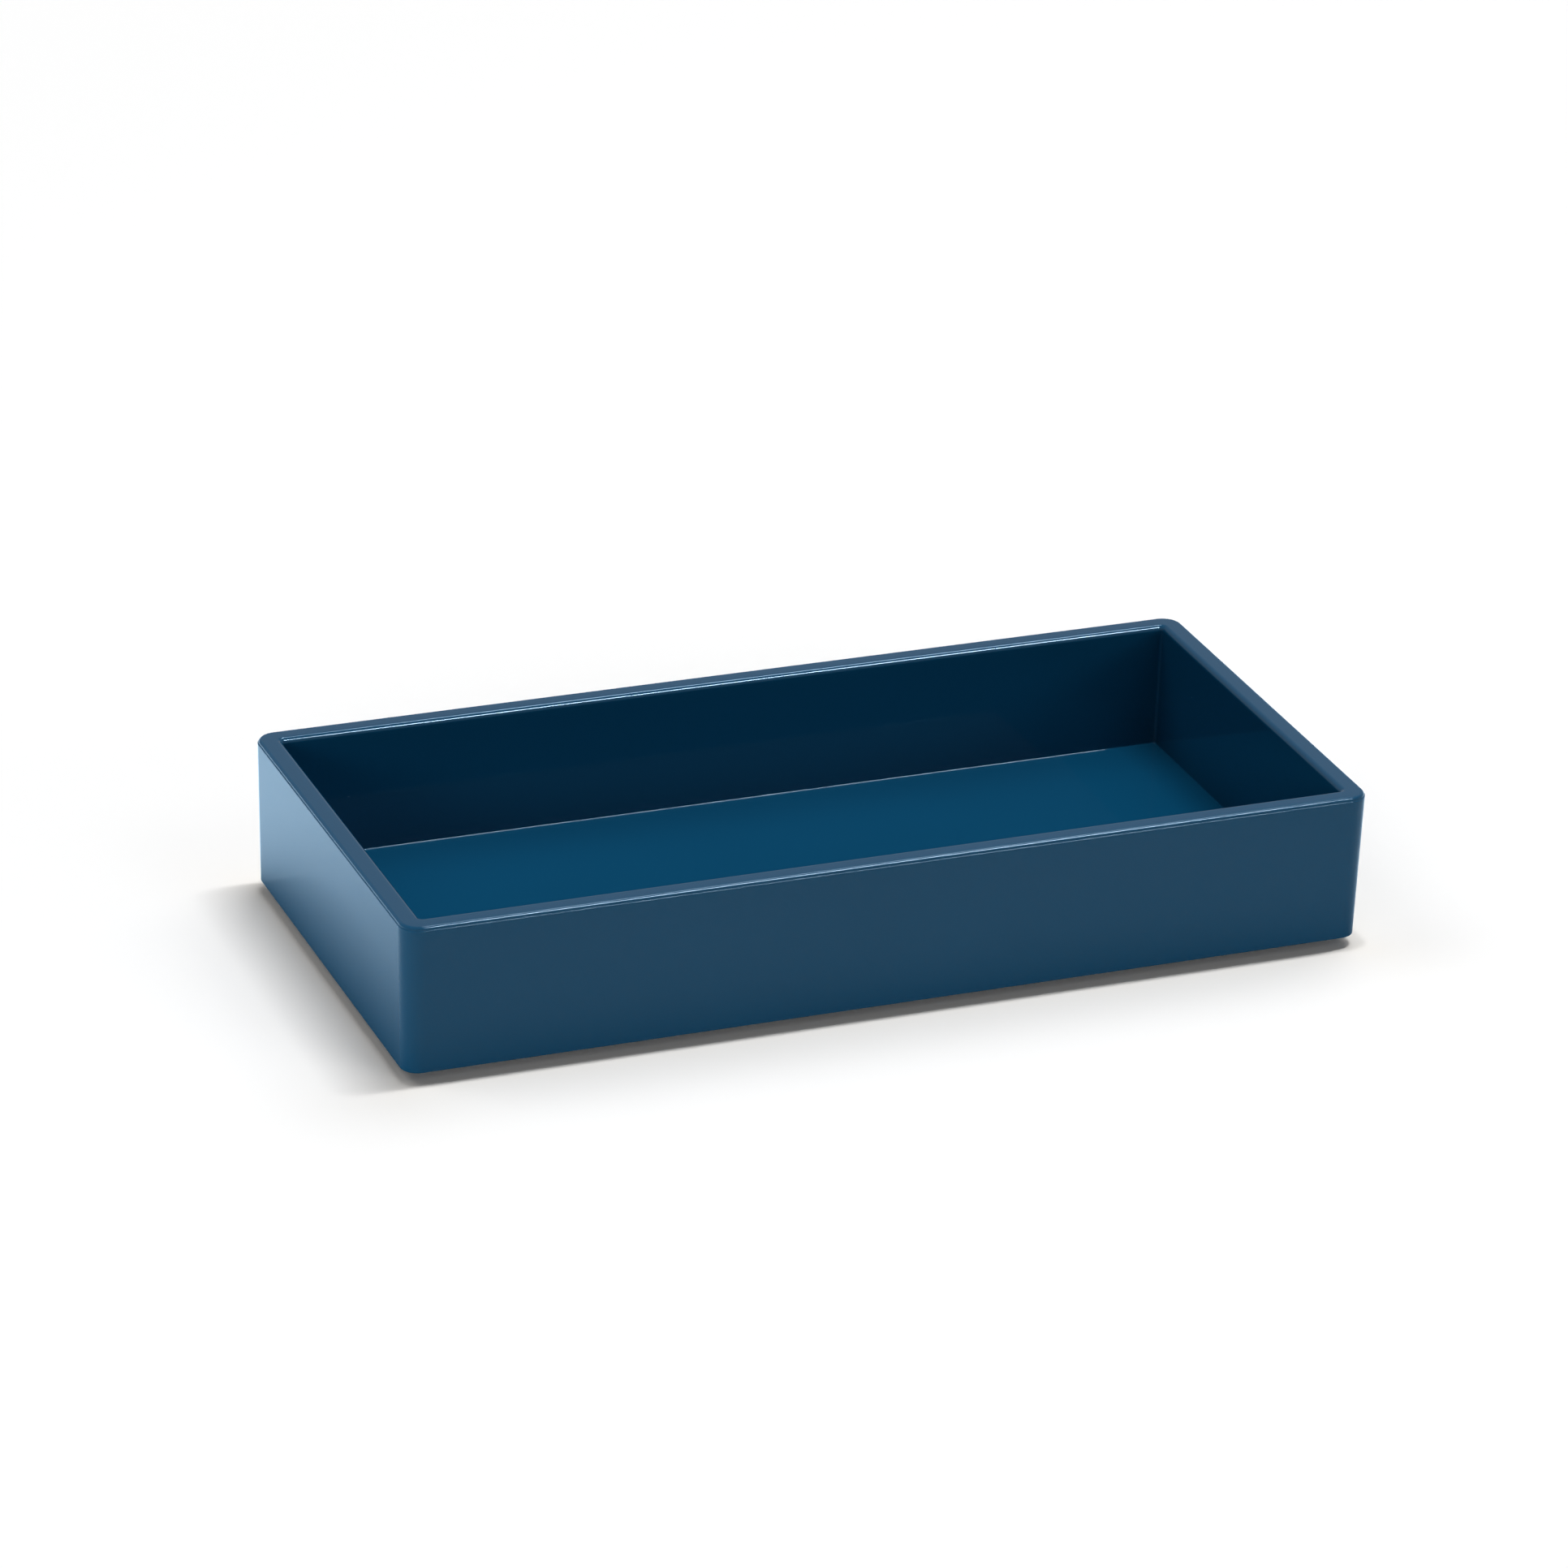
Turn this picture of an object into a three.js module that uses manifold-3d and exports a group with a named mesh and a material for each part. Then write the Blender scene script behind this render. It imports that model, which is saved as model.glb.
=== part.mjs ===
// Accessory tray for a desk: one thick-walled glossy moulding on four round stick-on feet.
// Millimetres. +X runs along the length, +Y towards the back, +Z up.
// The origin is on the desk top, under the middle of the tray.

import * as THREE from 'three';
import { mergeVertices } from 'three/addons/utils/BufferGeometryUtils.js';
import Module from 'manifold-3d';

const wasm = await Module();
wasm.setup();

// Outside of the moulding
const LENGTH = 171.45; // at the parting line, along X
const WIDTH = 81.2; // at the parting line, along Y
const BODY_HEIGHT = 26.3; // from the underside to the rim
const CORNER_RADIUS = 3.5; // of the vertical corners, seen from above
const OUTER_DRAFT = 1.2; // lean of the outer walls, in degrees
const UNDERSIDE_EDGE_ROUND = 0.15;
const PARTING_STEP = 0.15; // the rim stands back by this at the parting line below it

// Rim, walls and floor
const END_WALL = 4; // thickness of the two short walls at their top
const LONG_WALL = 3.9; // thickness of the two long walls at their top
const FLOOR_THICKNESS = 3.8;
const RIM_OUTER_ROUND = 0.55;
const RIM_INNER_ROUND = 1;
const CAVITY_CORNER_RADIUS = 0.5;
const CAVITY_DRAFT = 0.9; // lean of the cavity's walls, in degrees
const FLOOR_ROUND = 0.2; // where the cavity's walls meet its floor
const SHARPEST_CORNER = 0.2; // the tightest corner radius that the mould's cutter leaves

// Feet, their adhesive and their recesses in the underside
const FOOT_DIAMETER = 10;
const FOOT_THICKNESS = 2.5;
const FOOT_TAPER = 0.4; // how much the radius shrinks towards the desk
const FOOT_EDGE_ROUND = 0.5;
const FOOT_INSET = 13; // from the underside's edges to a foot's middle
const ADHESIVE_THICKNESS = 0.3;
const ADHESIVE_MARGIN = 0.5; // the foot's edge stands this far past its adhesive
const RECESS_DEPTH = 0.8;
const RECESS_CLEARANCE = 0.3; // between a foot's side and its recess

// Mark of the moulding gate, in a round well so that it stays clear of the desk
const GATE_WELL_DIAMETER = 8;
const GATE_WELL_DEPTH = 0.6;
const GATE_STUB_DIAMETER = 1.8;
const GATE_STUB_HEIGHT = 0.35;

// Fineness of the curved faces
const CORNER_STEPS = 12; // along a quarter turn of a vertical corner
const ROUND_STEPS = 5; // across a rounded edge
const DISC_SIDES = 48; // around a foot

// Sizes that follow from the ones above
const degrees = THREE.MathUtils.degToRad;
const outerLean = degrees(OUTER_DRAFT);
const cavityLean = degrees(CAVITY_DRAFT);
const footRadius = FOOT_DIAMETER / 2;
const groundClearance = FOOT_THICKNESS + ADHESIVE_THICKNESS - RECESS_DEPTH;
const cavityHalfLength = LENGTH / 2 - END_WALL;
const cavityHalfWidth = WIDTH / 2 - LONG_WALL;
const partingHeight = BODY_HEIGHT - RIM_OUTER_ROUND - PARTING_STEP;
const outerWallRise = partingHeight - UNDERSIDE_EDGE_ROUND;
const undersideInset = outerWallRise * Math.tan(outerLean);
const cavityWallDrop = BODY_HEIGHT - RIM_INNER_ROUND - FLOOR_THICKNESS - FLOOR_ROUND;
const floorInset = cavityWallDrop * Math.tan(cavityLean);
const footX = LENGTH / 2 - undersideInset - FOOT_INSET;
const footY = WIDTH / 2 - undersideInset - FOOT_INSET;

const corners = [
  { name: 'front_left', x: -footX, y: -footY },
  { name: 'front_right', x: footX, y: -footY },
  { name: 'back_left', x: -footX, y: footY },
  { name: 'back_right', x: footX, y: footY },
];

const materials = {
  plastic: new THREE.MeshStandardMaterial({ color: 0x25496a, roughness: 0.16, metalness: 0 }),
  rubber: new THREE.MeshStandardMaterial({ color: 0x232427, roughness: 0.85, metalness: 0 }),
  adhesive: new THREE.MeshStandardMaterial({ color: 0xc9c8c0, roughness: 0.5, metalness: 0 }),
};

// Angles of a rounded edge, from one end to the other, both included
function arcAngles(from, to) {
  return Array.from({ length: ROUND_STEPS + 1 }, (_, i) => THREE.MathUtils.lerp(from, to, i / ROUND_STEPS));
}

// One level of the moulding: a rectangle with round corners, anticlockwise seen from above
function roundedRectangle(halfLength, halfWidth, radius, z) {
  const r = Math.max(radius, SHARPEST_CORNER);
  const points = [];
  for (let quarter = 0; quarter < 4; quarter += 1) {
    const signX = quarter === 0 || quarter === 3 ? 1 : -1;
    const signY = quarter < 2 ? 1 : -1;
    for (let step = 0; step <= CORNER_STEPS; step += 1) {
      const angle = (quarter + step / CORNER_STEPS) * Math.PI / 2;
      const x = signX * (halfLength - r) + r * Math.cos(angle);
      const y = signY * (halfWidth - r) + r * Math.sin(angle);
      points.push(new THREE.Vector3(x, y, z));
    }
  }
  return points;
}

// A level of the outer wall, drawn in from the widest outline by an inset
function outerLevel(inset, z) {
  return roundedRectangle(LENGTH / 2 - inset, WIDTH / 2 - inset, CORNER_RADIUS - inset, z);
}

// A level of the cavity: its walls stand back by a margin at the rim, and close in by an inset below it
function cavityLevel(margin, inset, z) {
  const halfLength = cavityHalfLength + margin - inset;
  const halfWidth = cavityHalfWidth + margin - inset;
  return roundedRectangle(halfLength, halfWidth, CAVITY_CORNER_RADIUS + margin, z);
}

// The levels from the underside up the outer wall, past the parting line's small step, over the rim
// and down to the cavity's floor
function trayLevels() {
  const levels = [];
  for (const angle of arcAngles(-Math.PI / 2, -outerLean)) {
    const inset = undersideInset + UNDERSIDE_EDGE_ROUND * (1 - Math.cos(angle));
    levels.push(outerLevel(inset, UNDERSIDE_EDGE_ROUND * (1 + Math.sin(angle))));
  }
  levels.push(outerLevel(0, partingHeight));
  for (const angle of arcAngles(0, Math.PI / 2)) {
    const inset = PARTING_STEP + RIM_OUTER_ROUND * (1 - Math.cos(angle));
    levels.push(outerLevel(inset, BODY_HEIGHT - RIM_OUTER_ROUND * (1 - Math.sin(angle))));
  }
  for (const angle of arcAngles(Math.PI / 2, cavityLean)) {
    const margin = RIM_INNER_ROUND * (1 - Math.cos(angle));
    levels.push(cavityLevel(margin, 0, BODY_HEIGHT - RIM_INNER_ROUND * (1 - Math.sin(angle))));
  }
  for (const angle of arcAngles(-cavityLean, -Math.PI / 2)) {
    const inset = floorInset + FLOOR_ROUND * (1 - Math.cos(angle));
    levels.push(cavityLevel(0, inset, FLOOR_THICKNESS + FLOOR_ROUND * (1 + Math.sin(angle))));
  }
  return levels;
}

// Joins level to level with triangles and closes the first and the last one with a flat fan
function loft(levels) {
  const count = levels[0].length;
  const first = levels[0][0].z;
  const last = levels[levels.length - 1][0].z;
  const points = [...levels.flat(), new THREE.Vector3(0, 0, first), new THREE.Vector3(0, 0, last)];
  const firstMiddle = points.length - 2;
  const lastMiddle = points.length - 1;
  const top = (levels.length - 1) * count;
  const index = [];
  for (let i = 0; i < count; i += 1) {
    const next = (i + 1) % count;
    for (let level = 0; level < top; level += count) {
      index.push(level + i, level + next, level + count + next);
      index.push(level + i, level + count + next, level + count + i);
    }
    index.push(firstMiddle, next, i, lastMiddle, top + i, top + next);
  }
  return new THREE.BufferGeometry().setFromPoints(points).setIndex(index);
}

// A round disc on the Z axis between two heights
function disc(diameter, bottom, top) {
  return new THREE.CylinderGeometry(diameter / 2, diameter / 2, top - bottom, DISC_SIDES)
    .rotateX(Math.PI / 2)
    .translate(0, 0, (bottom + top) / 2);
}

function toSolid(geometry) {
  const bare = geometry.clone();
  bare.deleteAttribute('normal');
  bare.deleteAttribute('uv');
  const merged = mergeVertices(bare);
  const vertProperties = Float32Array.from(merged.attributes.position.array);
  const triVerts = Uint32Array.from(merged.index.array);
  return new wasm.Manifold(new wasm.Mesh({ numProp: 3, vertProperties, triVerts }));
}

function toGeometry(solid) {
  const { vertProperties, triVerts } = solid.getMesh();
  const geometry = new THREE.BufferGeometry();
  geometry.setAttribute('position', new THREE.BufferAttribute(vertProperties, 3));
  geometry.setIndex(new THREE.BufferAttribute(triVerts, 1));
  geometry.computeVertexNormals();
  return geometry;
}

// The moulding, with its underside at zero: the loft less the feet's recesses and the gate's well
function trayBody() {
  const below = -RECESS_DEPTH; // cutters start this far under the underside
  let body = toSolid(loft(trayLevels()));
  const recessDiameter = FOOT_DIAMETER + 2 * RECESS_CLEARANCE;
  for (const { x, y } of corners) {
    body = body.subtract(toSolid(disc(recessDiameter, below, RECESS_DEPTH).translate(x, y, 0)));
  }
  body = body.subtract(toSolid(disc(GATE_WELL_DIAMETER, below, GATE_WELL_DEPTH)));
  const stubBottom = GATE_WELL_DEPTH - GATE_STUB_HEIGHT;
  const stubRoot = FLOOR_THICKNESS / 2; // inside the floor, so that the stub grows out of it
  body = body.add(toSolid(disc(GATE_STUB_DIAMETER, stubBottom, stubRoot)));
  return toGeometry(body);
}

// A foot, standing on zero: a flat tread, a rounded edge, a tapered side and a flat back
function footBody() {
  const treadRadius = footRadius - FOOT_TAPER;
  const profile = [new THREE.Vector2(0, 0)];
  for (const angle of arcAngles(-Math.PI / 2, 0)) {
    const x = treadRadius - FOOT_EDGE_ROUND * (1 - Math.cos(angle));
    profile.push(new THREE.Vector2(x, FOOT_EDGE_ROUND * (1 + Math.sin(angle))));
  }
  profile.push(new THREE.Vector2(footRadius, FOOT_THICKNESS), new THREE.Vector2(0, FOOT_THICKNESS));
  return new THREE.LatheGeometry(profile, DISC_SIDES).rotateX(Math.PI / 2);
}

function part(name, geometry, material) {
  const mesh = new THREE.Mesh(geometry, material);
  mesh.name = name;
  return mesh;
}

const tray = new THREE.Group();

const body = part('tray_body', trayBody(), materials.plastic);
body.position.z = groundClearance;
tray.add(body);

const adhesiveDiameter = FOOT_DIAMETER - 2 * ADHESIVE_MARGIN;
for (const { name, x, y } of corners) {
  const place = new THREE.Group();
  place.position.set(x, y, 0);
  place.add(part(`foot_${name}`, footBody(), materials.rubber));
  const adhesiveDisc = disc(adhesiveDiameter, 0, ADHESIVE_THICKNESS);
  const adhesive = part(`foot_adhesive_${name}`, adhesiveDisc, materials.adhesive);
  adhesive.position.z = FOOT_THICKNESS;
  place.add(adhesive);
  tray.add(place);
}

export default tray;
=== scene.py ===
# %% [markdown]
# # A glossy desk tray, dressed around its imported frame
# The real tray is one thick-walled injection moulding that stands on four stick-on rubber feet. The
# imported frame already has every piece at its true size, so this script only gives each one a finer
# surface and a finish, and sets up a small white studio to look at it in. We start by loading the
# frame and noting its box.

import math

import bmesh
import bpy
import numpy as np
from mathutils import Matrix, Vector


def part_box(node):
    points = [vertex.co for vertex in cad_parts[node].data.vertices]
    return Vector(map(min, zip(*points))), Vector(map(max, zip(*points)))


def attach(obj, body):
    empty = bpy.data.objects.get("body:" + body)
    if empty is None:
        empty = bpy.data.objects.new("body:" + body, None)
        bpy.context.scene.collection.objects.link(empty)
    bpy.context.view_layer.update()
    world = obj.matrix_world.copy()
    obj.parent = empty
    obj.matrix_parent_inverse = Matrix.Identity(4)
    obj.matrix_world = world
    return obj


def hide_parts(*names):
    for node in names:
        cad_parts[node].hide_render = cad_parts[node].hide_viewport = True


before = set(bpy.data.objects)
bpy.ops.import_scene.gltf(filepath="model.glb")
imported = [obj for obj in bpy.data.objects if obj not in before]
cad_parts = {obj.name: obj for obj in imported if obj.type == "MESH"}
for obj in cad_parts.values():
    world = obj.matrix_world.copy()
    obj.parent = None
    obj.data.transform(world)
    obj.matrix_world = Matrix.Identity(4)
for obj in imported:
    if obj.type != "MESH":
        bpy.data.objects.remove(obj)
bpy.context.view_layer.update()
MM = 0.001  # one millimetre in Blender's metres

# %% [markdown]
# ## The camera
# The view was worked out from the tray's own straight edges: their vanishing points give the lens,
# and the known length gives the distance. A long lens from over a metre away keeps the edges nearly
# parallel. The camera is placed by two angles about the middle of the tray's footprint, a small roll,
# and a sideways and upward offset, so no lens shift is needed.

# %% Place the camera
PHOTO_PIXELS = 1932  # the photograph is square
FOCAL_PIXELS = 8647.08
SENSOR_WIDTH = 36  # mm
CAMERA_AZIMUTH = math.radians(-22.1189)
CAMERA_ELEVATION = math.radians(24.3968)
CAMERA_ROLL = math.radians(1.8671)
CAMERA_OFFSET = Vector((-3.6070, 20.6557)) * MM
CAMERA_DISTANCE = 1196.4924 * MM
UNDERSIDE_HEIGHT = 2.0 * MM  # the feet hold the moulding this far off the desk


def camera_matrix(azimuth, elevation, roll, offset, distance, pivot):
    """The camera looks back along the direction given by the two angles. Right is level, up is square
    to both, and the roll turns these two about the line of sight. The eye is the pivot, moved along
    right and up by the offset and back by the distance."""
    back = Vector((
        math.sin(azimuth) * math.cos(elevation),
        -math.cos(azimuth) * math.cos(elevation),
        math.sin(elevation),
    ))
    right = Vector((0, 0, 1)).cross(back).normalized()
    up = back.cross(right)
    turned_right = right * math.cos(roll) + up * math.sin(roll)
    turned_up = up * math.cos(roll) - right * math.sin(roll)
    eye = pivot + turned_right * offset.x + turned_up * offset.y + back * distance
    columns = Matrix((turned_right, turned_up, back)).transposed()
    return Matrix.Translation(eye) @ columns.to_4x4()


camera = bpy.data.objects.new("camera", bpy.data.cameras.new("camera"))
bpy.context.scene.collection.objects.link(camera)
bpy.context.scene.camera = camera
camera.data.sensor_width = SENSOR_WIDTH
camera.data.lens = FOCAL_PIXELS / PHOTO_PIXELS * SENSOR_WIDTH
camera.matrix_world = camera_matrix(
    CAMERA_AZIMUTH, CAMERA_ELEVATION, CAMERA_ROLL, CAMERA_OFFSET, CAMERA_DISTANCE,
    Vector((0, 0, UNDERSIDE_HEIGHT)),
)
eye = [round(value, 3) for value in camera.matrix_world.translation]
print("camera at", eye, "m, lens", round(camera.data.lens, 1), "mm")

# %% [markdown]
# ## Surfaces from grids
# Every new piece here is a grid of points: one direction goes round the piece, the other follows its
# profile. The tray's outline is a rectangle with round corners, and the feet are turned about an
# upright axis. Working out the whole grid as one array is quick, and each formula stays short.
# Narrow extra rows beside each rounded edge keep the flat faces truly flat under smooth shading.

# %% Outlines
CORNER_STEPS = 28  # along a quarter turn of a corner
SIDE_SHARES = np.array([0.005, 0.05, 0.25, 0.5, 0.75, 0.95, 0.995])  # points along a straight side


def rounded_rectangles(half_length, half_width, radius):
    """Outlines as an array of levels x points x 2. Each corner is a quarter circle about a centre one
    radius inside both sides, and each side runs straight from the end of one quarter circle to the
    start of the next, with points at fixed shares of its length."""
    radius = np.minimum(radius, np.minimum(half_length, half_width))
    angle = (np.arange(4)[:, None] + np.linspace(0, 1, CORNER_STEPS + 1)[None, :]) * math.pi / 2
    sign = np.array([[1, 1], [-1, 1], [-1, -1], [1, -1]])
    room = np.stack([half_length - radius, half_width - radius], -1)
    centre = room[:, None, None, :] * sign[None, :, None, :]
    spoke = np.stack([np.cos(angle), np.sin(angle)], -1)
    arcs = centre + radius[:, None, None, None] * spoke[None]
    start, end = arcs[:, :, -1:, :], np.roll(arcs[:, :, :1, :], -1, axis=1)
    sides = start + (end - start) * SIDE_SHARES[None, None, :, None]
    return np.concatenate([arcs, sides], axis=2).reshape(len(radius), -1, 2)


print("points round the tray:", rounded_rectangles(*np.ones((3, 1))).shape[1])

# %% Profiles and turned shapes
TURN_STEPS = 96  # around a foot


def arc(centre, radius, start, end, steps):
    """Points on a circle of the profile's plane, from one angle to another in degrees."""
    angle = np.radians(np.linspace(start, end, steps + 1))
    return np.stack([centre[0] + radius * np.cos(angle), centre[1] + radius * np.sin(angle)], -1)


def turned(profile, centre):
    """A grid of rings from a profile of (radius, height): each profile point travels round the upright
    axis through the centre, x = centre x + radius cos t and y = centre y + radius sin t."""
    t = np.arange(TURN_STEPS) / TURN_STEPS * 2 * math.pi
    radius, height = profile[:, 0, None], profile[:, 1, None]
    x = centre[0] + radius * np.cos(t)
    y = centre[1] + radius * np.sin(t)
    return np.stack([x, y, height + 0 * t], -1)


print("points round a foot:", TURN_STEPS)

# %% [markdown]
# ### From grids to closed meshes
# Four points that are neighbours in a grid make a face. One piece may need several grids, and smooth
# shading only works across points that the faces share. So the grids are put into one mesh and their
# doubled points are merged. Blender's own primitives could be joined in the same way, but a grid puts
# every row of points exactly where the profile says.

# %% Faces and welding
WELD_DISTANCE = 0.0005 * MM  # points closer than this become one
SHARP_ANGLE = math.radians(35)  # edges that turn by more stay crisp under smooth shading
CM3 = (10 * MM) ** 3


def grid_faces(rows, columns):
    """Four-cornered faces between neighbouring rows of a grid whose columns close into a ring."""
    row = np.arange(rows - 1)[:, None] * columns
    here = np.arange(columns)[None, :]
    after = (here + 1) % columns
    corners = (row + here, row + after, row + columns + after, row + columns + here)
    return np.stack(corners, -1).reshape(-1, 4)


def welded_mesh(name, grids):
    """One closed mesh from grids in millimetres. Rows that have shrunk to a point or a line close when
    doubles merge, open flat edges are filled, and the faces are then turned outward."""
    shape = bmesh.new()
    for grid in grids:
        points = (grid.reshape(-1, 3) * MM).tolist()
        part = bpy.data.meshes.new(name)
        part.from_pydata(points, [], grid_faces(*grid.shape[:2]).tolist())
        shape.from_mesh(part)
        bpy.data.meshes.remove(part)
    bmesh.ops.remove_doubles(shape, verts=shape.verts, dist=WELD_DISTANCE)
    open_edges = [edge for edge in shape.edges if edge.is_boundary]
    if open_edges:
        bmesh.ops.triangle_fill(shape, edges=open_edges, use_beauty=True, use_dissolve=False)
    bmesh.ops.recalc_face_normals(shape, faces=shape.faces)
    volume = shape.calc_volume(signed=True)
    leaks = sum(not edge.is_manifold for edge in shape.edges)
    mesh = bpy.data.meshes.new(name)
    shape.to_mesh(mesh)
    shape.free()
    mesh.shade_smooth()
    mesh.set_sharp_from_angle(angle=SHARP_ANGLE)
    print(f"{name}: {len(mesh.polygons)} faces, {leaks} leaks, {volume / CM3:.2f} cm3")
    return mesh


print("faces of a small grid:", len(grid_faces(3, 4)))

# %% [markdown]
# ### In place of the frame's nodes
# A new mesh is in the frame's own coordinates already, so it needs no move. It is tied to the frame's
# fixed body, and the CAD node that it stands for is taken out of the picture.


# %% Put a piece in its place
def piece(name, mesh, node, material):
    """Puts a finished mesh in the scene in place of its CAD node."""
    thing = bpy.data.objects.new(name, mesh)
    bpy.context.scene.collection.objects.link(thing)
    thing.data.materials.append(material)
    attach(thing, "root")
    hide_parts(node)
    print(name, "stands for", node)


# %% [markdown]
# ## Shared effects
# Several finishes need the same small effects, so each is a shader node group that is built once and
# placed in every material that uses it, with its own numbers. The groups give out only heights and
# masks, and the shader itself stays in the material.


# %% Helpers for node groups
def wire(tree, source, target):
    """Joins an output socket to an input socket."""
    tree.links.new(source, target)


def add_node(tree, kind, **settings):
    """A node with its properties set by name, and its inputs set from the `inputs` dictionary."""
    values = settings.pop("inputs", {})
    node = tree.nodes.new(kind)
    for key, value in settings.items():
        setattr(node, key, value)
    for key, value in values.items():
        if isinstance(value, bpy.types.NodeSocket):
            wire(tree, value, node.inputs[key])
        else:
            node.inputs[key].default_value = value
    return node


def effect_group(name, inputs, outputs):
    """An empty node group: inputs are (name, default) pairs of floats after one Position vector."""
    group = bpy.data.node_groups.new(name, "ShaderNodeTree")
    group.interface.new_socket("Position", in_out="INPUT", socket_type="NodeSocketVector")
    for label, default in inputs:
        socket = group.interface.new_socket(label, in_out="INPUT", socket_type="NodeSocketFloat")
        socket.default_value = default
    for label in outputs:
        group.interface.new_socket(label, in_out="OUTPUT", socket_type="NodeSocketFloat")
    return group, group.nodes.new("NodeGroupInput").outputs, group.nodes.new("NodeGroupOutput").inputs


def calculate(tree, operation, *values):
    """The result socket of a Math node on sockets or plain numbers."""
    inputs = dict(enumerate(values))
    return add_node(tree, "ShaderNodeMath", operation=operation, inputs=inputs).outputs[0]


def remap(tree, value, low, high, out_low=0.0, out_high=1.0, curve="LINEAR"):
    """Moves a value from one range to another and holds it at the ends. The way between is straight,
    or a soft S with the curve SMOOTHSTEP."""
    inputs = {
        "Value": value, "From Min": low, "From Max": high, "To Min": out_low, "To Max": out_high,
    }
    node = add_node(tree, "ShaderNodeMapRange", interpolation_type=curve, inputs=inputs)
    return node.outputs["Result"]


def noise(tree, vector, scale, detail):
    """The value of a noise texture: scale is in lumps per metre, and detail adds finer octaves."""
    inputs = {"Vector": vector, "Scale": scale, "Detail": detail}
    return add_node(tree, "ShaderNodeTexNoise", inputs=inputs).outputs["Fac"]


# %% [markdown]
# ### Moulded skin
# A polished mould still leaves a skin that is not quite flat: a faint ripple a couple of millimetres
# long, and slow waves over centimetres where the thick wall has shrunk. Two noises of very different
# scale, added as a height, bend the reflections just enough to look like plastic and not like glass.

# %% Moulded skin
RIPPLE_SCALE = 420.0  # lumps per metre
WAVE_SCALE = 28.0

moulded_skin, skin_in, skin_out = effect_group(
    "moulded skin", [("Ripple Height", 0.0), ("Wave Height", 0.0)], ["Height"]
)
ripple = noise(moulded_skin, skin_in["Position"], RIPPLE_SCALE, 1.0)
wave = noise(moulded_skin, skin_in["Position"], WAVE_SCALE, 0.0)
ripple_height = calculate(moulded_skin, "MULTIPLY", ripple, skin_in["Ripple Height"])
wave_height = calculate(moulded_skin, "MULTIPLY", wave, skin_in["Wave Height"])
wire(moulded_skin, calculate(moulded_skin, "ADD", ripple_height, wave_height), skin_out["Height"])
print("group:", moulded_skin.name)

# %% [markdown]
# ### Handling marks
# A tray that has been wiped and filled carries hairlines: thin, nearly straight and faint. A noise
# stretched about eighty times along one direction gives streaks; keeping only its highest crests thins
# them to hairs, and a second slow noise breaks them into patches. Two directions cross each other.

# %% Handling marks
HAIR_STRETCH = 0.012  # the noise's scale along a hairline, as a share of its scale across
HAIR_TILT = (0.3, 0.2)  # in radians, so that the streaks also cross upright faces
HAIR_CRESTS = (0.74, 0.80)  # only the noise above these is a hairline
PATCH_SCALE = 60.0
PATCH_EDGES = (0.45, 0.65)

handling_marks, marks_in, marks_out = effect_group(
    "handling marks", [("Fineness", 3000.0), ("Amount", 1.0)], ["Mask"]
)


def hairlines(angle, offset):
    """Crests of a noise stretched along one direction of the surface plane."""
    mapping = add_node(handling_marks, "ShaderNodeMapping", inputs={
        "Vector": marks_in["Position"], "Rotation": (*HAIR_TILT, math.radians(angle)),
        "Scale": (1.0, HAIR_STRETCH, 1.0), "Location": (offset, 0, 0),
    })
    streaks = noise(handling_marks, mapping.outputs["Vector"], marks_in["Fineness"], 0.0)
    return remap(handling_marks, streaks, *HAIR_CRESTS)


patches = noise(handling_marks, marks_in["Position"], PATCH_SCALE, 1.0)
patch = remap(handling_marks, patches, *PATCH_EDGES)
first_hairs = hairlines(angle=62, offset=0.0)
second_hairs = hairlines(angle=-38, offset=0.7)
crossed = calculate(handling_marks, "MAXIMUM", first_hairs, second_hairs)
broken = calculate(handling_marks, "MULTIPLY", crossed, patch)
marks = calculate(handling_marks, "MULTIPLY", broken, marks_in["Amount"])
wire(handling_marks, marks, marks_out["Mask"])
print("group:", handling_marks.name)

# %% [markdown]
# ### Dust
# Static draws single grains of dust to plastic. Each cell of a Voronoi pattern holds one point; a
# grain shows where the surface is close to it, and only in the few cells whose random colour passes
# a limit. So the grains are round, far apart and different in size.

# %% Dust
dust, dust_in, dust_out = effect_group(
    "dust", [("Cells", 260.0), ("Rarity", 0.9), ("Grain", 0.04)], ["Mask"]
)
cells = add_node(dust, "ShaderNodeTexVoronoi", inputs={
    "Vector": dust_in["Position"], "Scale": dust_in["Cells"],
})
draw = add_node(dust, "ShaderNodeSeparateColor", inputs={"Color": cells.outputs["Color"]})
chosen = calculate(dust, "GREATER_THAN", draw.outputs[0], dust_in["Rarity"])
size = calculate(dust, "MULTIPLY", draw.outputs[1], dust_in["Grain"])
near = calculate(dust, "LESS_THAN", cells.outputs["Distance"], size)
wire(dust, calculate(dust, "MULTIPLY", chosen, near), dust_out["Mask"])
print("group:", dust.name)

# %% [markdown]
# ## Glossy blue plastic
# The moulding is a dark slate blue with a high polish. Its colour is almost free of red, so all the
# pale light on it is gloss. Slow changes in the pigment keep the flat faces from looking painted.
# The hairlines only roughen the gloss, and the dust lays single grey grains on it.

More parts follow.
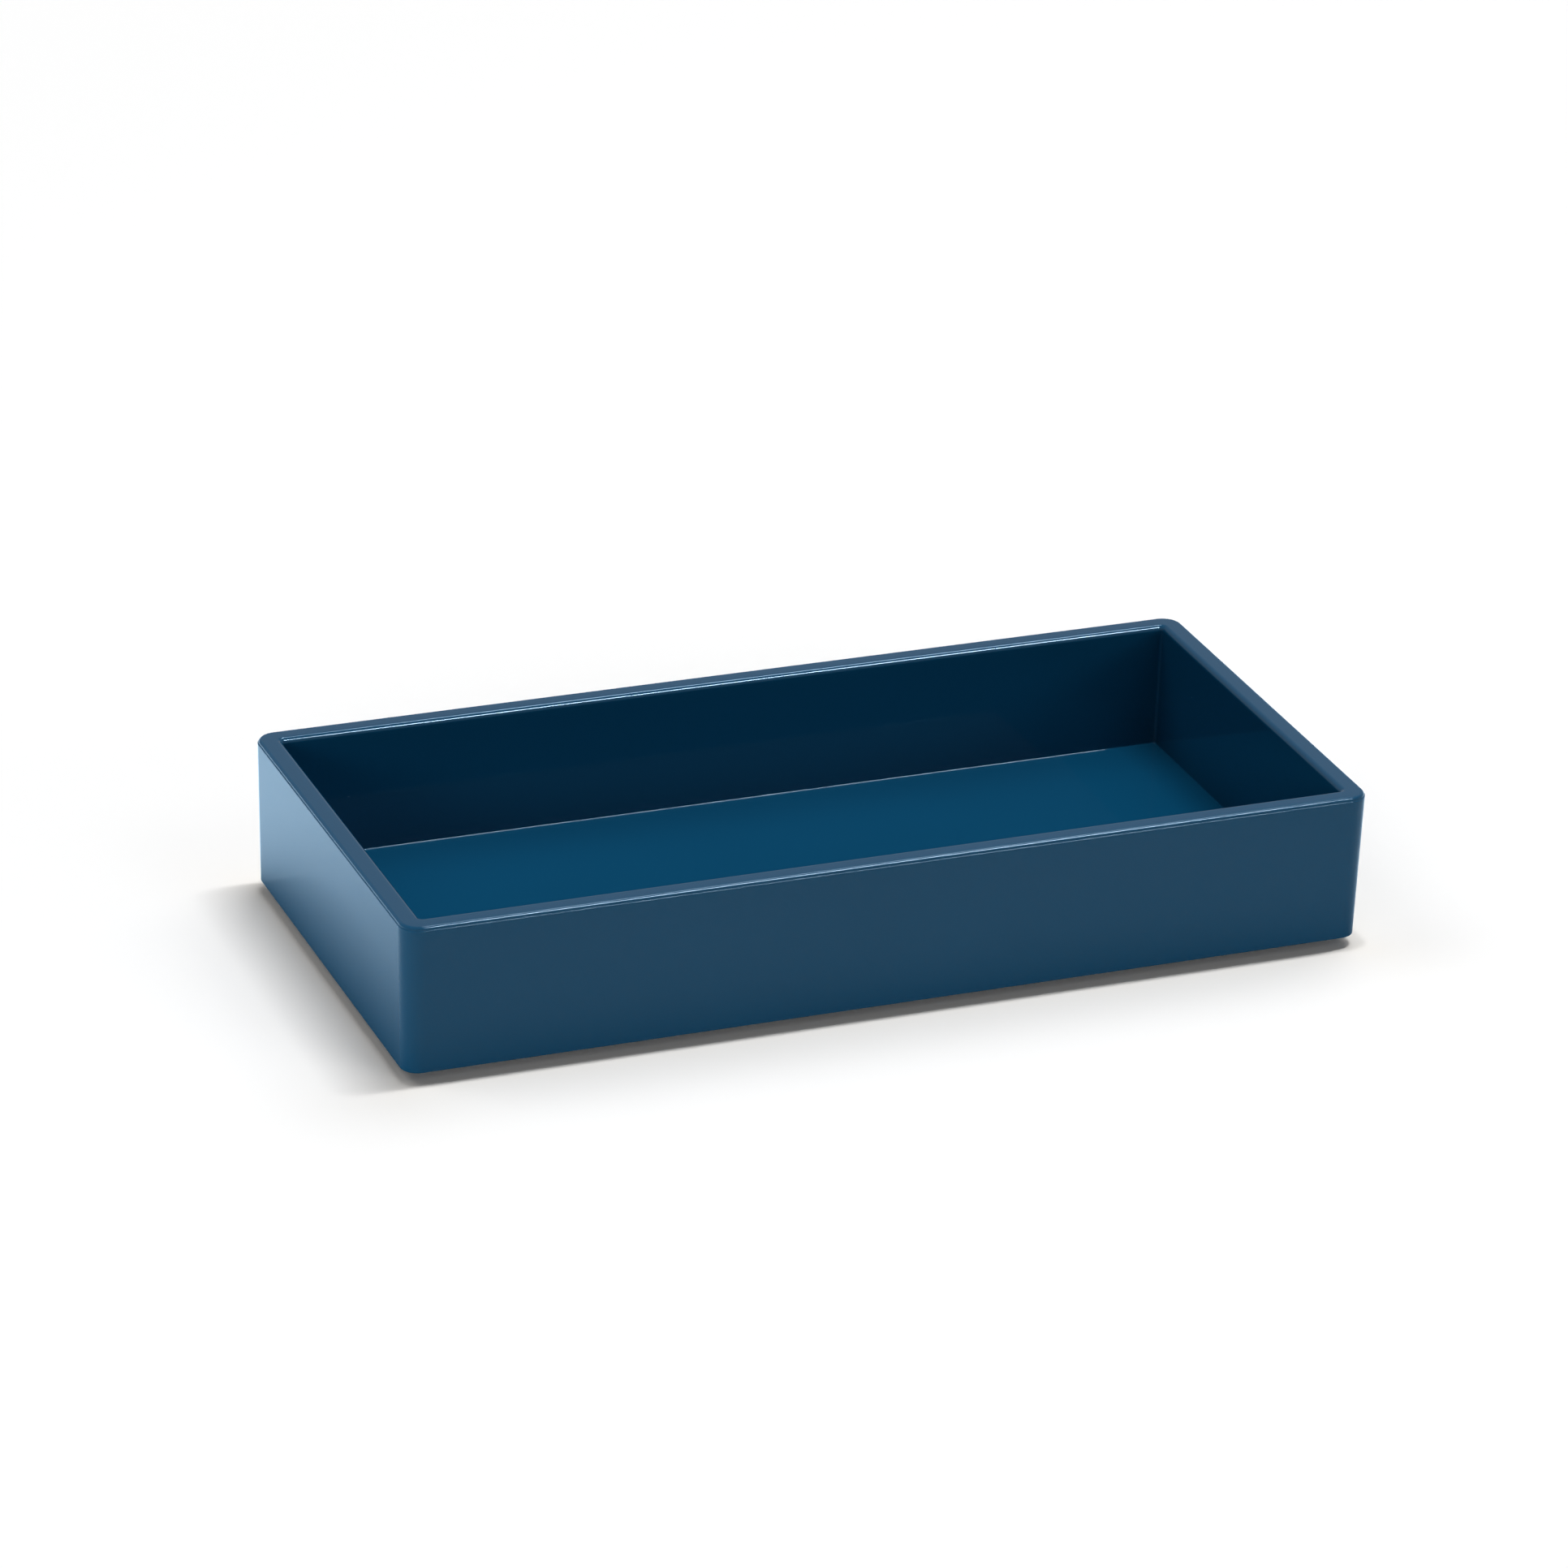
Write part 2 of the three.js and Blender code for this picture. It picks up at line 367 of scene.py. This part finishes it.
# %% Tray plastic
TRAY_BLUE = (0.003, 0.063, 0.141, 1.0)
TRAY_ROUGHNESS = 0.03
TRAY_IOR = 1.36
NOISE_LOW, NOISE_HIGH = 0.3, 0.7  # nearly all of a noise lies between these
PIGMENT_SCALE = 18.0
PIGMENT_CHANGE = 0.03  # how far the blue strays to either side, as a share
DUST_GREY = (0.35, 0.37, 0.4, 1.0)
DUST_ROUGHNESS = 0.4  # added where a grain lies
SCUFF_ROUGHNESS = 0.12  # added along a hairline
RIPPLE_HEIGHT = 0.0004 * MM
WAVE_HEIGHT = 0.006 * MM


def new_material(name):
    """A material with an empty tree, its shader, and the object's own position."""
    material = bpy.data.materials.new(name)
    material.use_nodes = True
    tree = material.node_tree
    tree.nodes.clear()
    shader = tree.nodes.new("ShaderNodeBsdfPrincipled")
    output = tree.nodes.new("ShaderNodeOutputMaterial")
    wire(tree, shader.outputs["BSDF"], output.inputs["Surface"])
    position = tree.nodes.new("ShaderNodeTexCoord").outputs["Object"]
    return material, tree, shader, position


def place_group(tree, group, position, **values):
    """The output of a shared effect, placed with its own values. An underscore in a value's name
    stands for a space."""
    inputs = {"Position": position}
    for key, value in values.items():
        inputs[key.replace("_", " ")] = value
    return add_node(tree, "ShaderNodeGroup", node_tree=group, inputs=inputs).outputs[0]


def blend_colour(tree, factor, first, second):
    """The first colour at a factor of 0, the second at 1, and a straight blend between them."""
    node = add_node(tree, "ShaderNodeMix", data_type="RGBA", inputs={0: factor, 6: first, 7: second})
    return node.outputs[2]


tray_plastic, tree, shader, position = new_material("tray_plastic")
shader.inputs["IOR"].default_value = TRAY_IOR
shade = remap(tree, noise(tree, position, PIGMENT_SCALE, 2.0), NOISE_LOW, NOISE_HIGH)
darker_blue = [value * (1 - PIGMENT_CHANGE) for value in TRAY_BLUE[:3]] + [1]
lighter_blue = [value * (1 + PIGMENT_CHANGE) for value in TRAY_BLUE[:3]] + [1]
blue = blend_colour(tree, shade, darker_blue, lighter_blue)
grains = place_group(tree, dust, position, Cells=110.0, Rarity=0.93, Grain=0.02)
wire(tree, blend_colour(tree, grains, blue, DUST_GREY), shader.inputs["Base Color"])
scuffs = place_group(tree, handling_marks, position, Fineness=2600.0, Amount=1.0)
scuffed = remap(tree, scuffs, 0, 1, TRAY_ROUGHNESS, TRAY_ROUGHNESS + SCUFF_ROUGHNESS)
dusty = calculate(tree, "MULTIPLY", grains, DUST_ROUGHNESS)
wire(tree, calculate(tree, "ADD", scuffed, dusty), shader.inputs["Roughness"])
skin = place_group(
    tree, moulded_skin, position, Ripple_Height=RIPPLE_HEIGHT, Wave_Height=WAVE_HEIGHT
)
bump = add_node(tree, "ShaderNodeBump", inputs={"Strength": 1.0, "Distance": 1.0, "Height": skin})
wire(tree, bump.outputs["Normal"], shader.inputs["Normal"])
print("material:", tray_plastic.name, "base", TRAY_BLUE[:3])

# %% [markdown]
# ## The moulding
# The tray is one solid with walls, rim and floor of nearly the same thickness. It could be a box with
# a bevelled pocket, but a bevel would round every edge alike. Here a profile travels round the
# rectangle instead: up the leaning outer wall, over the rim's outer and inner rounds, and down into
# the pocket. The frame says how high the moulding hangs over the desk and where its feet are.

# %% Boxes from the frame
tray_low, tray_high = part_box("tray_body")
base = tray_low.z / MM  # the underside's height over the desk
tray_size = [round(value / MM, 3) for value in tray_high - tray_low]
print("frame's tray:", tray_size, "base", round(base, 3))
feet = ("front_left", "front_right", "back_left", "back_right")
foot_centres = {}
for name in feet:
    foot_low, foot_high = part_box(f"foot_{name}")
    foot_centres[name] = np.array(((foot_low + foot_high) / 2 / MM)[:2])
print("feet at", {name: centre.round(2).tolist() for name, centre in foot_centres.items()})


# %% [markdown]
# ### Outer wall and rim
# The outer wall leans, so that the moulding slides out of its mould. A fine step under the rim is
# where the two halves of the mould meet. It could be a dark line in the colour, but a real step
# catches the light by itself, from every side. The profile starts on the underside and ends on the
# flat of the rim. Its first number says how far a point stands out from the widest outline, and is
# negative inside it. Its second says how high the point lies over the underside.


# %% The outer wall and rim
def along(start, end, shares):
    """Points on the straight line between two profile points, at shares of the way."""
    start, end = np.array(start), np.array(end)
    return start + (end - start) * np.array(shares)[:, None]


def lifted(outline, height):
    """A grid of points in space: each level of the outline gets its height, counted from the
    underside, which itself lies at the base."""
    level = np.broadcast_to((base + height)[:, None, None], outline.shape[:2] + (1,))
    return np.concatenate([outline, level], -1)


LENGTH = 171.45  # millimetres, like all sizes of the pieces
WIDTH = 81.2
BODY_HEIGHT = 26.3
CORNER_RADIUS = 3.5
OUTER_DRAFT = math.radians(1.2)
UNDERSIDE_ROUND = 0.15
PARTING_STEP = 0.15
RIM_OUTER_ROUND = 0.55
WALL_SHARES = (0.01, 0.06, 0.3, 0.6, 0.9, 0.985)
STEP_ROUND = 0.06  # softens the parting step
UNDERSIDE_ROW = 1.0  # the first row lies this far in from the underside's edge

parting_height = BODY_HEIGHT - RIM_OUTER_ROUND - PARTING_STEP
draft_inset = (parting_height - UNDERSIDE_ROUND) * math.tan(OUTER_DRAFT)
lean = math.degrees(OUTER_DRAFT)
underside_edge = -draft_inset - UNDERSIDE_ROUND
underside_arc = arc((underside_edge, UNDERSIDE_ROUND), UNDERSIDE_ROUND, -90, -lean, steps=8)
step_arc = arc((-STEP_ROUND, parting_height), STEP_ROUND, -lean, 80, steps=5)
rim_foot_centre = (-PARTING_STEP + STEP_ROUND, parting_height + 2 * STEP_ROUND)
rim_foot = arc(rim_foot_centre, STEP_ROUND, -100, -180, steps=4)
rim_centre = (-PARTING_STEP - RIM_OUTER_ROUND, BODY_HEIGHT - RIM_OUTER_ROUND)
rim_arc = arc(rim_centre, RIM_OUTER_ROUND, 0, 90, steps=18)
outer_profile = np.concatenate([
    along((underside_edge - UNDERSIDE_ROW, 0), underside_arc[0], shares=(0, 0.85)),
    underside_arc,
    along(underside_arc[-1], step_arc[0], WALL_SHARES),
    step_arc,
    rim_foot,
    rim_arc,
])
inset, height = -outer_profile[:, 0], outer_profile[:, 1]
outline = rounded_rectangles(LENGTH / 2 - inset, WIDTH / 2 - inset, CORNER_RADIUS - inset)
outer_grid = lifted(outline, height)
print("outer wall:", outer_grid.shape)

# %% [markdown]
# ### Pocket
# The inside has walls of its own: they lean the other way, their corners are much tighter, and they
# meet the floor in a narrow round. A Boolean cut could hollow the tray, but it leaves long thin
# triangles that spoil the reflections beside the rounds. So the grid simply goes on, over the rim's
# inner round, down the wall and across the floor, until the outline has shrunk to a line.

# %% The pocket
END_WALL = 4.0
LONG_WALL = 3.9
FLOOR_THICKNESS = 3.8
RIM_INNER_ROUND = 1.0
CAVITY_CORNER_RADIUS = 0.5
CAVITY_DRAFT = math.radians(0.9)
FLOOR_ROUND = 0.2
RIM_ROW = 0.4  # the first row lies this far out on the rim's flat

cavity_lean = math.degrees(CAVITY_DRAFT)
cavity_drop = BODY_HEIGHT - RIM_INNER_ROUND - FLOOR_THICKNESS - FLOOR_ROUND
floor_inset = cavity_drop * math.tan(CAVITY_DRAFT)
inner_centre = (RIM_INNER_ROUND, BODY_HEIGHT - RIM_INNER_ROUND)
inner_arc = arc(inner_centre, RIM_INNER_ROUND, 90, 180 - cavity_lean, steps=20)
floor_centre = (-floor_inset - FLOOR_ROUND, FLOOR_THICKNESS + FLOOR_ROUND)
floor_arc = arc(floor_centre, FLOOR_ROUND, -cavity_lean, -90, steps=10)
pocket_half_length = LENGTH / 2 - END_WALL
pocket_half_width = WIDTH / 2 - LONG_WALL
middle = (-pocket_half_width, FLOOR_THICKNESS)  # here the last outline has shrunk to a line
pocket_profile = np.concatenate([
    along((RIM_INNER_ROUND + RIM_ROW, BODY_HEIGHT), inner_arc[0], shares=(0, 0.7)),
    inner_arc,
    along(inner_arc[-1], floor_arc[0], WALL_SHARES),
    floor_arc,
    along(floor_arc[-1], middle, shares=(0.004, 0.3, 0.65, 1)),
])
reach, height = pocket_profile[:, 0], pocket_profile[:, 1]
half_width = pocket_half_width + reach
radius = CAVITY_CORNER_RADIUS + np.maximum(reach, 0)
outline = rounded_rectangles(pocket_half_length + reach, half_width, radius)
shell_grid = np.concatenate([outer_grid, lifted(outline, height)])
print("whole profile:", shell_grid.shape)

# %% [markdown]
# ### Recesses and gate
# On the underside four round recesses take the feet. A shallow well in the middle hides the stub that
# is left where the plastic was let into the mould. These are turned shapes with a narrow flat collar
# at the mouth. The flat underside is filled in between the collars when the moulding is welded, which
# keeps it truly flat.

# %% The recesses and the gate's well
FOOT_DIAMETER = 10.0
RECESS_DEPTH = 0.8
RECESS_CLEARANCE = 0.3
GATE_WELL_DIAMETER = 8.0
GATE_WELL_DEPTH = 0.6
GATE_STUB_DIAMETER = 1.8
GATE_STUB_HEIGHT = 0.35
MOUTH_ROUND = 0.1  # the soft edge of a recess
COLLAR_WIDTH = 0.3  # flat ring of the underside round a recess
ROW_GAP = 0.05  # a row this close to an edge keeps the face beside it flat
WALL_GAP = 0.02
STUB_FILLET = 0.15  # where the gate's stub grows out of its well
STUB_BEVEL = 0.03
STUB_HOLLOW = 0.05  # the dimple left where the stub broke off


def recess_profile(mouth_radius, depth):
    """Profile of a round recess: a flat collar, a small round at the mouth, a straight wall and the
    start of the ceiling."""
    r = MOUTH_ROUND
    return np.concatenate([
        [[mouth_radius + r + COLLAR_WIDTH, 0], [mouth_radius + r + ROW_GAP, 0]],
        arc((mouth_radius + r, r), r, -90, -180, steps=4),
        [[mouth_radius, depth - WALL_GAP], [mouth_radius, depth], [mouth_radius - ROW_GAP, depth]],
    ])


recess_radius = FOOT_DIAMETER / 2 + RECESS_CLEARANCE
foot_recess = np.concatenate([recess_profile(recess_radius, RECESS_DEPTH), [[0, RECESS_DEPTH]]])
stub_radius = GATE_STUB_DIAMETER / 2
stub_end = GATE_WELL_DEPTH - GATE_STUB_HEIGHT
fillet_centre = (stub_radius + STUB_FILLET, GATE_WELL_DEPTH - STUB_FILLET)
gate_well = np.concatenate([
    recess_profile(GATE_WELL_DIAMETER / 2, GATE_WELL_DEPTH),
    arc(fillet_centre, STUB_FILLET, 90, 180, steps=5),
    [[stub_radius, stub_end + STUB_BEVEL], [stub_radius - STUB_BEVEL, stub_end]],
    [[stub_radius / 2, stub_end], [0, stub_end + STUB_HOLLOW]],
])
raised = np.array([0, base])
turned_grids = [turned(foot_recess + raised, centre) for centre in foot_centres.values()]
turned_grids.append(turned(gate_well + raised, (0, 0)))
print("turned recesses:", len(turned_grids))

# %% [markdown]
# ### One solid
# The profile's grid and the turned recesses become one closed mesh. The print below counts leaks, the
# edges that don't lie between exactly two faces: a solid has none.

# %% Weld the moulding
tray_mesh = welded_mesh("tray_moulding", [shell_grid, *turned_grids])
piece("tray_moulding", tray_mesh, "tray_body", tray_plastic)

# %% [markdown]
# ## Rubber feet
# Each foot is a small bumper of black rubber. Rubber is matt, and its pale specks are dust that
# sticks to it. A plain black would look like a hole under the tray, so a fine grain mottles the colour
# and pits the surface.

# %% Rubber for the feet
RUBBER_IOR = 1.5
RUBBER_SPECULAR = 0.35
RUBBER_GRAIN = 2600.0  # lumps per metre
RUBBER_DARK = (0.012, 0.012, 0.014, 1.0)
RUBBER_PALE = (0.028, 0.028, 0.03, 1.0)
RUBBER_DUST = (0.16, 0.155, 0.145, 1.0)
RUBBER_ROUGHNESS = 0.72
RUBBED_ROUGHNESS = 0.5  # along a hairline the rubber is polished
PIT_HEIGHT = 0.04 * MM

foot_rubber, tree, shader, position = new_material("foot_rubber")
shader.inputs["IOR"].default_value = RUBBER_IOR
shader.inputs["Specular IOR Level"].default_value = RUBBER_SPECULAR
grain = noise(tree, position, RUBBER_GRAIN, 3.0)
grains = place_group(tree, dust, position, Cells=900.0, Rarity=0.8, Grain=0.12)
mottled = blend_colour(tree, grain, RUBBER_DARK, RUBBER_PALE)
wire(tree, blend_colour(tree, grains, mottled, RUBBER_DUST), shader.inputs["Base Color"])
scuffs = place_group(tree, handling_marks, position, Fineness=1800.0, Amount=1.0)
rubbed = remap(tree, scuffs, 0, 1, RUBBER_ROUGHNESS, RUBBED_ROUGHNESS)
wire(tree, rubbed, shader.inputs["Roughness"])
pitted = calculate(tree, "MULTIPLY", grain, PIT_HEIGHT)
bump = add_node(tree, "ShaderNodeBump", inputs={"Strength": 1.0, "Distance": 1.0, "Height": pitted})
wire(tree, bump.outputs["Normal"], shader.inputs["Normal"])
print("material:", foot_rubber.name)

# %% [markdown]
# ### The shape of a foot
# A foot is wider at the back, where it is glued, and a little tapered towards the desk. A ring-shaped
# groove in the tread lets the rubber flex. A cylinder with a bevel would come close, but only a
# turned profile gives the taper, the groove and two different rounds at once.

# %% Turn the feet
FOOT_THICKNESS = 2.5
FOOT_TAPER = 0.4
FOOT_EDGE_ROUND = 0.5
GROOVE_RADIUS = 2.6
GROOVE_ROUND = 0.3
BACK_ROUND = 0.15  # at the edge of the glued face
TREAD_GAP = 0.03  # between the tread's last row and its rounded edge

foot_radius = FOOT_DIAMETER / 2
tread_radius = foot_radius - FOOT_TAPER
tread_flat = tread_radius - FOOT_EDGE_ROUND
foot_profile = np.concatenate([
    [[0, 0], [GROOVE_RADIUS - GROOVE_ROUND - WALL_GAP, 0]],
    arc((GROOVE_RADIUS, 0), GROOVE_ROUND, 180, 0, steps=12),
    [[GROOVE_RADIUS + GROOVE_ROUND + WALL_GAP, 0], [tread_flat - TREAD_GAP, 0]],
    arc((tread_flat, FOOT_EDGE_ROUND), FOOT_EDGE_ROUND, -90, 0, steps=10),
    [[foot_radius - WALL_GAP, FOOT_THICKNESS - BACK_ROUND - WALL_GAP]],
    arc((foot_radius - BACK_ROUND, FOOT_THICKNESS - BACK_ROUND), BACK_ROUND, 0, 90, steps=5),
    [[foot_radius - BACK_ROUND - ROW_GAP, FOOT_THICKNESS], [0, FOOT_THICKNESS]],
])
for name, centre in foot_centres.items():
    foot_mesh = welded_mesh(f"rubber_foot_{name}", [turned(foot_profile, centre)])
    piece(f"rubber_foot_{name}", foot_mesh, f"foot_{name}", foot_rubber)

# %% [markdown]
# ## Adhesive
# A thin disc of milky acrylic adhesive holds each foot. Its CAD solid already has the right shape, so
# the node stays and only gets a finish: pale and slightly cloudy, with trapped bubbles that roughen
# it.

# %% Adhesive discs
ADHESIVE_IOR = 1.47
CLOUD_SCALE = 500.0
ADHESIVE_DULL = (0.52, 0.51, 0.46, 1.0)
ADHESIVE_PALE = (0.66, 0.65, 0.6, 1.0)
BUBBLE_GREY = (0.4, 0.39, 0.36, 1.0)
ADHESIVE_ROUGHNESS, BUBBLE_ROUGHNESS = 0.42, 0.65

adhesive, tree, shader, position = new_material("adhesive")
shader.inputs["IOR"].default_value = ADHESIVE_IOR
cloud = noise(tree, position, CLOUD_SCALE, 2.0)
bubbles = place_group(tree, dust, position, Cells=2200.0, Rarity=0.35, Grain=0.3)
milky = blend_colour(tree, cloud, ADHESIVE_DULL, ADHESIVE_PALE)
wire(tree, blend_colour(tree, bubbles, milky, BUBBLE_GREY), shader.inputs["Base Color"])
bubbly = remap(tree, bubbles, 0, 1, ADHESIVE_ROUGHNESS, BUBBLE_ROUGHNESS)
wire(tree, bubbly, shader.inputs["Roughness"])
for name in feet:
    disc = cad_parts[f"foot_adhesive_{name}"]
    disc.data.materials.clear()
    disc.data.materials.append(adhesive)
print("adhesive discs dressed:", len(feet))

# %% [markdown]
# ## The studio
# The tray stands on a plain white table with soft light. A table that is wide enough keeps its edges
# out of every view, and one flat face is all that it needs. It belongs to the studio, not to the tray.

# %% The table's shape
FLOOR_HALF_SIZE = 2.0  # metres

floor_mesh = bpy.data.meshes.new("table")
floor_corners = np.array([[-1, -1, 0], [1, -1, 0], [1, 1, 0], [-1, 1, 0]]) * FLOOR_HALF_SIZE
floor_mesh.from_pydata(floor_corners.tolist(), [], [(0, 1, 2, 3)])
table = bpy.data.objects.new("table", floor_mesh)
bpy.context.scene.collection.objects.link(table)
print("table:", FLOOR_HALF_SIZE * 2, "m wide")

# %% [markdown]
# ### The table in the gloss
# A white table would flood polished plastic with light. The Light Path node tells who looks, so the
# tray's gloss can see a table of another colour than the camera does. That colour is a painted
# reflection: a cooler table with painted contrast, dim in front, bright behind, and darker close to
# the tray, a painted shadow where the shadow lies.

# %% How gloss sees the table
# The table in the tray's gloss is a painted reflection: a painted cool tint, a painted dim-to-bright
# ramp from front to back, and a painted shadow at the tray's foot.
GLOSS_TINT = (1.0, 1.4, 1.75)  # how the table looks in the tray's gloss
GLOSS_DIM, GLOSS_BRIGHT = 0.63, 1.3
GLOSS_FROM, GLOSS_TO = -0.03, 0.085  # from dim to bright along Y
CONTACT_SHADE = 0.75  # how much darker gloss sees the table at the tray's foot
CONTACT_REACH = 0.008


def seen_in_gloss(tree, path):
    """One for light paths that come straight from gloss, and zero once a matt surface lies between.
    The diffuse depth counts the matt surfaces on the way, so less than a half means none."""
    from_gloss = calculate(tree, "MAXIMUM", path["Is Glossy Ray"], path["Is Transmission Ray"])
    none_matt = calculate(tree, "LESS_THAN", path["Diffuse Depth"], 0.5)
    return calculate(tree, "MULTIPLY", from_gloss, none_matt)


table_white = bpy.data.materials.new("table_white")
table_white.use_nodes = True
tree = table_white.node_tree
tree.nodes.clear()
path = tree.nodes.new("ShaderNodeLightPath").outputs
mirrored = seen_in_gloss(tree, path)
position = tree.nodes.new("ShaderNodeTexCoord").outputs["Object"]
depth = add_node(tree, "ShaderNodeSeparateXYZ", inputs={"Vector": position}).outputs["Y"]
front_to_back = remap(
    tree, depth, GLOSS_FROM, GLOSS_TO, GLOSS_DIM, GLOSS_BRIGHT, curve="SMOOTHSTEP"
)


def vector_step(operation, first, second=(0, 0, 0)):
    """The result socket of a Vector Math node."""
    node = add_node(tree, "ShaderNodeVectorMath", operation=operation, inputs={0: first, 1: second})
    return node.outputs["Value" if operation == "LENGTH" else "Vector"]


past_foot = vector_step("SUBTRACT", vector_step("ABSOLUTE", position), (tray_high.x, tray_high.y, 1))
distance = vector_step("LENGTH", vector_step("MAXIMUM", past_foot))


def fading(reach):
    """One at the tray's foot, less with the distance d from it: the exponential of -d / reach."""
    return calculate(tree, "EXPONENT", calculate(tree, "DIVIDE", distance, -reach))


# painted shadow in the reflection, darkest at the tray's foot and fading with distance
painted_foot_shadow = calculate(tree, "MULTIPLY", fading(CONTACT_REACH), CONTACT_SHADE)
painted_contact_shadow = calculate(tree, "SUBTRACT", 1.0, painted_foot_shadow)
painted_reflection_tone = calculate(tree, "MULTIPLY", front_to_back, painted_contact_shadow)
painted_reflection_colour = add_node(tree, "ShaderNodeVectorMath", operation="SCALE", inputs={
    0: GLOSS_TINT, "Scale": painted_reflection_tone,
}).outputs["Vector"]
print("gloss sees the table from", GLOSS_DIM, "in front to", GLOSS_BRIGHT, "behind")

# %% [markdown]
# ### The table for the camera
# For the camera the table is pure white and still takes the tray's shadow. For the light that it
# throws back it is darker, so that it doesn't flood the tray. The tray throws some blue light on the
# table beside it, and the camera's table leaves that much blue out, so the shadow stays neutral. Far
# from the tray the table turns into plain white light, so its end can't be told from the background.

# %% How the camera sees the table
FLOOR_WHITE = 1.0
FLOOR_BOUNCE = 0.60
BLUE_CAST = (0.0, 0.03, 0.075)  # what the camera's view leaves out of red, green and blue
CAST_REACH = 0.009
WHITE_FROM, WHITE_TO = 0.2, 0.7  # metres from the tray, where the plain white starts and is reached

bounce_grey = (FLOOR_BOUNCE, FLOOR_BOUNCE, FLOOR_BOUNCE, 1)
bounced = blend_colour(tree, mirrored, bounce_grey, painted_reflection_colour)
pure_white = (FLOOR_WHITE, FLOOR_WHITE, FLOOR_WHITE, 1)
warm_white = [FLOOR_WHITE * (1 - share) for share in BLUE_CAST] + [1]
plain = blend_colour(tree, fading(CAST_REACH), pure_white, warm_white)
seen = blend_colour(tree, path["Is Camera Ray"], bounced, plain)
matt = add_node(tree, "ShaderNodeBsdfDiffuse", inputs={"Color": seen})
far = remap(tree, distance, WHITE_FROM, WHITE_TO, curve="SMOOTHSTEP")
far_and_seen = calculate(tree, "MULTIPLY", far, path["Is Camera Ray"])
white = add_node(tree, "ShaderNodeEmission", inputs={"Color": (1, 1, 1, 1), "Strength": FLOOR_WHITE})
surface = add_node(tree, "ShaderNodeMixShader", inputs={
    0: far_and_seen, 1: matt.outputs["BSDF"], 2: white.outputs["Emission"],
})
output = tree.nodes.new("ShaderNodeOutputMaterial")
wire(tree, surface.outputs["Shader"], output.inputs["Surface"])
floor_mesh.materials.append(table_white)
print("table's material:", table_white.name)

# %% [markdown]
# ### World
# The world lights the tray from everywhere. A strong even world would wash out the shading, so it
# gives only a little light. Gloss sees it much brighter, which puts the pale sheen on the polished
# faces, and the camera sees it pure white, like the table.

# %% World
WORLD_AMBIENT = 0.028
WORLD_IN_GLOSS = 0.456
WORLD_WHITE = 1.0  # for the camera

world = bpy.data.worlds.new("studio")
bpy.context.scene.world = world
world.use_nodes = True
tree = world.node_tree
tree.nodes.clear()
path = tree.nodes.new("ShaderNodeLightPath").outputs
mirrored = seen_in_gloss(tree, path)
indirect = remap(tree, mirrored, 0, 1, WORLD_AMBIENT, WORLD_IN_GLOSS)
strength = add_node(tree, "ShaderNodeMix", inputs={
    0: path["Is Camera Ray"], 2: indirect, 3: WORLD_WHITE,
}).outputs[0]
background = add_node(tree, "ShaderNodeBackground", inputs={
    "Color": (1, 1, 1, 1), "Strength": strength,
})
output = tree.nodes.new("ShaderNodeOutputWorld")
wire(tree, background.outputs[0], output.inputs["Surface"])
print("world: ambient", WORLD_AMBIENT, "in gloss", WORLD_IN_GLOSS)

# %% [markdown]
# ### Lamps
# Most of the light comes from overhead, from a narrow strip that runs along the tray and a small
# panel beside it, so the shadow ends crisply in front and fades slowly at the side. Wide panels
# behind and at the front right, low cards at both front corners and a low strip at the left lift the
# rest. These lamps are hidden from gloss. Two more that only gloss sees draw the fine bright lines
# along the rim's rounds.
# Each lamp's strength is written as the share of white that it gives to a level surface, and the
# power in watts follows from that.

# %% Lamps
LAMPS = {
    # name: (direction to the lamp, distance in m, width, height, share of white)
    "zenith_panel": ((-0.035, 0.0, 1.0), 3.0, 0.12, 0.12, 0.17),
    "key_strip": ((0.19, 0.0, 1.0), 3.0, 0.14, 1.2, 0.46),
    "back_right_panel": ((0.55, 0.45, 1.0), 3.0, 2.0, 2.0, 0.20),
    "back_left_panel": ((-0.76, 0.35, 1.0), 3.0, 1.5, 1.5, 0.12),
    "front_right_panel": ((0.343, -0.676, 0.652), 3.0, 1.0, 1.0, 0.035),
    "left_card": ((-0.6, -0.75, 0.28), 1.5, 0.8, 0.3, 0.031),
    "right_card": ((0.55, -0.8, 0.28), 1.5, 0.8, 0.3, 0.031),
    "left_strip": ((-1.0, -0.05, 0.025), 0.6, 0.8, 0.02, 0.0105),
}
GLOSS_LAMPS = {
    "rim_lamp_front": ((0.343, -0.47, 0.813), 3.0, 0.7, 0.4, 0.70),
    "rim_lamp_back": ((0.343, 0.42, 0.84), 3.0, 0.7, 0.4, 0.22),
}
GLOSS_LAMP_COLOUR = (0.57, 0.80, 1.0)


def softbox(name, direction, distance, width, height, share):
    """A rectangular lamp aimed at the tray. The power is share x pi^2 x distance^2 / slope, because a
    level white surface under it shows power x slope / (pi^2 x distance^2)."""
    aim = Vector(direction).normalized()
    light = bpy.data.lights.new(name, "AREA")
    light.shape = "RECTANGLE"
    light.size, light.size_y = width, height
    light.energy = share * math.pi**2 * distance**2 / aim.z
    lamp = bpy.data.objects.new(name, light)
    bpy.context.scene.collection.objects.link(lamp)
    turn = aim.to_track_quat("Z", "Y").to_matrix().to_4x4()
    lamp.matrix_world = Matrix.Translation(aim * distance) @ turn
    lamp.visible_camera = False
    print(f"{name}: {light.energy:.2f} W")
    return lamp


for name, settings in LAMPS.items():
    softbox(name, *settings).visible_glossy = False
for name, settings in GLOSS_LAMPS.items():
    lamp = softbox(name, *settings)
    lamp.visible_diffuse = False
    lamp.data.color = GLOSS_LAMP_COLOUR

bpy.context.scene.view_settings.view_transform = "Standard"

# %% [markdown]
# ## The last update
# The view layer is brought up to date.

# %% Update the view layer
bpy.context.view_layer.update()
